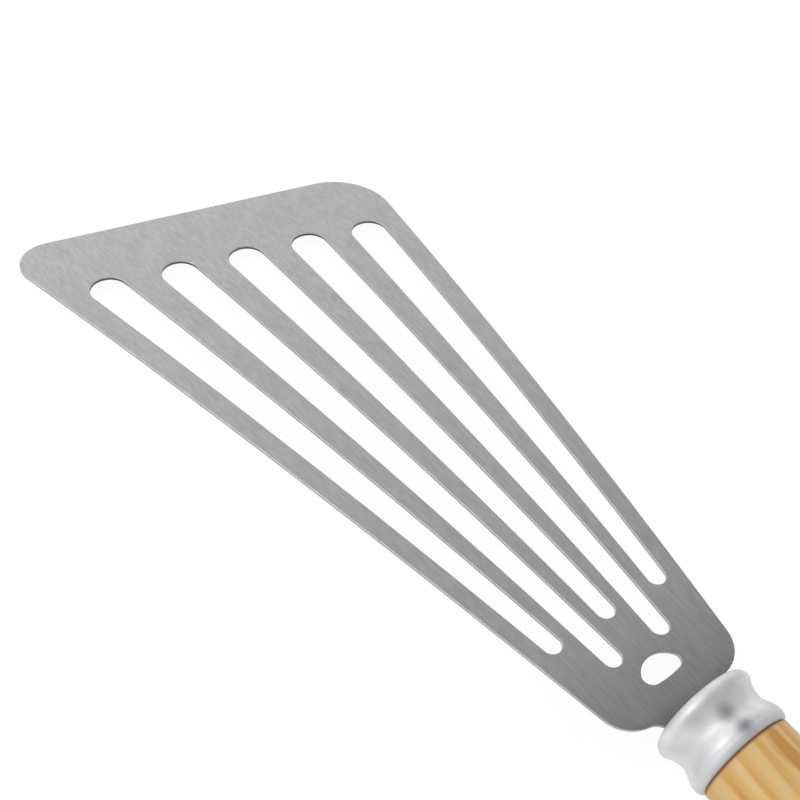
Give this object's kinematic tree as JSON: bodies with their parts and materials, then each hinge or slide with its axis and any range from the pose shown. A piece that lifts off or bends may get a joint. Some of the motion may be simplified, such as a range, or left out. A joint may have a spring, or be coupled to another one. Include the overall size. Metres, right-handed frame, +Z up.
{
  "type": "fish spatula",
  "caption": "Slotted fish spatula with an arched, fan-shaped steel blade, a slanted leading edge, a waisted metal bolster and a turned wooden handle.",
  "frame": {"origin": "on the surface that the spatula lies on, under the middle of its bounding box", "axes": "+X from the butt of the handle to the tip of the blade, +Y to the side of the long corner, +Z up"},
  "size_m": [0.3052, 0.0848, 0.0225],
  "materials": {
    "blade_steel": "finely brushed along the blade",
    "bolster_metal": "cast and polished to a soft shine",
    "handle_wood": "sanded and oiled, with lengthwise grain",
    "adhesive": "cured epoxy, out of sight"
  },
  "bodies": {
    "root": {"blade": "blade_steel", "bolster": "bolster_metal", "handle": "handle_wood", "tang_adhesive": "adhesive"}
  },
  "joints": []
}
